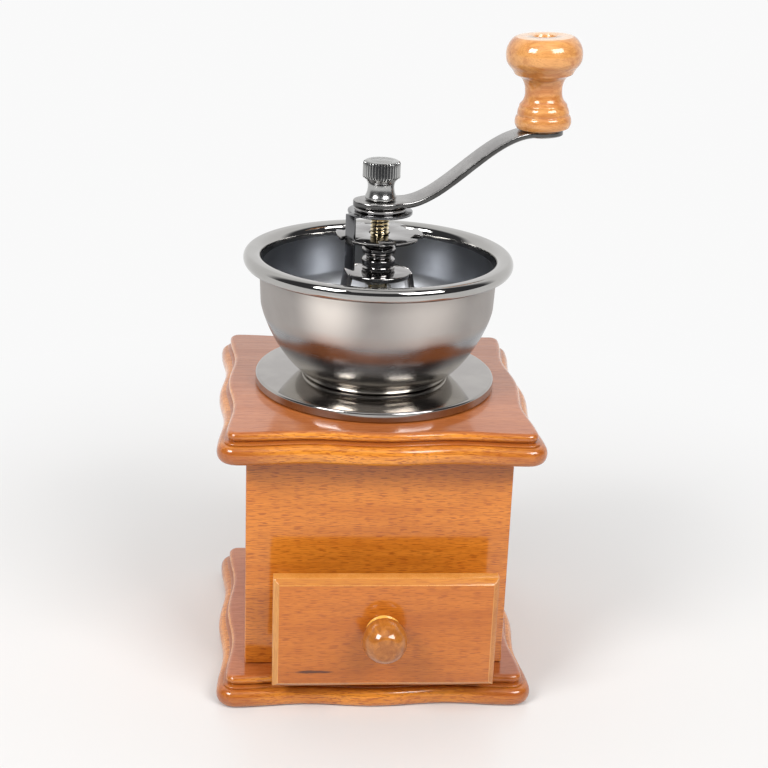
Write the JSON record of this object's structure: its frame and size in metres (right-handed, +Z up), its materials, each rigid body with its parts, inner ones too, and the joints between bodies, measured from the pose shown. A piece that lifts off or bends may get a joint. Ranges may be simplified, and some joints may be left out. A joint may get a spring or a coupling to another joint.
{
  "type": "manual coffee grinder",
  "caption": "Hand-cranked box coffee grinder: scalloped wooden case with a drawer, steel hopper bowl, cone mill, bent crank arm and turned wooden knob.",
  "frame": {"origin": "centre of the base board's flat underside, below the mill's shaft", "axes": "+Z up along the shaft, -Y out of the drawer front, +X to the right as seen from the drawer"},
  "size_m": [0.1457, 0.1523, 0.2642],
  "materials": {
    "varnished_wood": "gloss varnish over fine-flecked beech",
    "knob_wood": "gloss varnish, turned",
    "pale_wood": "bare, sanded",
    "satin_steel": "satin outside, polished lip",
    "dark_steel": "dark nickel plate, polished",
    "zinc": "bright zinc plate",
    "burr_iron": "as cast, teeth ground",
    "thread_brass": "yellow passivated plate on a threaded shaft"
  },
  "bodies": {
    "frame": {"base_board": "varnished_wood", "top_board": "varnished_wood", "front_panel": "varnished_wood", "back_panel": "varnished_wood", "left_panel": "varnished_wood", "right_panel": "varnished_wood", "base_screw_1": "zinc", "base_screw_2": "zinc", "base_screw_3": "zinc", "base_screw_4": "zinc", "flange_plate": "dark_steel", "hopper_bowl": "satin_steel", "outer_burr": "burr_iron", "bridge": "dark_steel", "bridge_bushing": "dark_steel", "bridge_bolt_1": "dark_steel", "bridge_bolt_2": "dark_steel", "bolt_washer_1": "zinc", "bolt_washer_2": "zinc", "bolt_nut_1": "zinc", "bolt_nut_2": "zinc", "lower_strap": "zinc", "strap_screw_1": "zinc", "strap_screw_2": "zinc", "shaft_spring": "zinc"},
    "adjuster": {"adjusting_wheel": "dark_steel"},
    "spindle": {"main_shaft": "thread_brass", "inner_burr": "burr_iron", "burr_nut": "zinc", "spring_washer": "zinc", "lock_clip": "dark_steel", "spacer_washer": "dark_steel", "crank_arm": "dark_steel", "knob_pin": "zinc", "knob_washer": "dark_steel"},
    "knob": {"crank_knob": "knob_wood"},
    "thumb_nut": {"thumb_nut": "dark_steel"},
    "drawer": {"drawer_front": "varnished_wood", "drawer_side_left": "pale_wood", "drawer_side_right": "pale_wood", "drawer_back": "pale_wood", "drawer_bottom": "pale_wood", "drawer_knob": "knob_wood", "drawer_knob_screw": "zinc"}
  },
  "joints": [
    {"name": "drawer_slide", "type": "slide", "parent": "frame", "child": "drawer", "axis": [0, -1, 0], "range_m": [-0.014, 0.045]},
    {"name": "crank_turn", "type": "hinge", "parent": "frame", "child": "adjuster", "pos_m": [0, 0, 0.1738], "axis": [0, 0, 1], "continuous": true},
    {"name": "grind_adjust", "type": "slide", "parent": "adjuster", "child": "spindle", "axis": [0, 0, 1], "range_m": [0, 0.0012], "deforming": ["shaft_spring"]},
    {"name": "knob_spin", "type": "hinge", "parent": "spindle", "child": "knob", "pos_m": [0.06667, 0.01176, 0.2234], "axis": [-0.0481, -0.0085, 0.9988], "continuous": true},
    {"name": "thumb_nut_turn", "type": "hinge", "parent": "spindle", "child": "thumb_nut", "pos_m": [0, 0, 0.1981], "axis": [0, 0, 1], "range_deg": [0, 1080]}
  ]
}
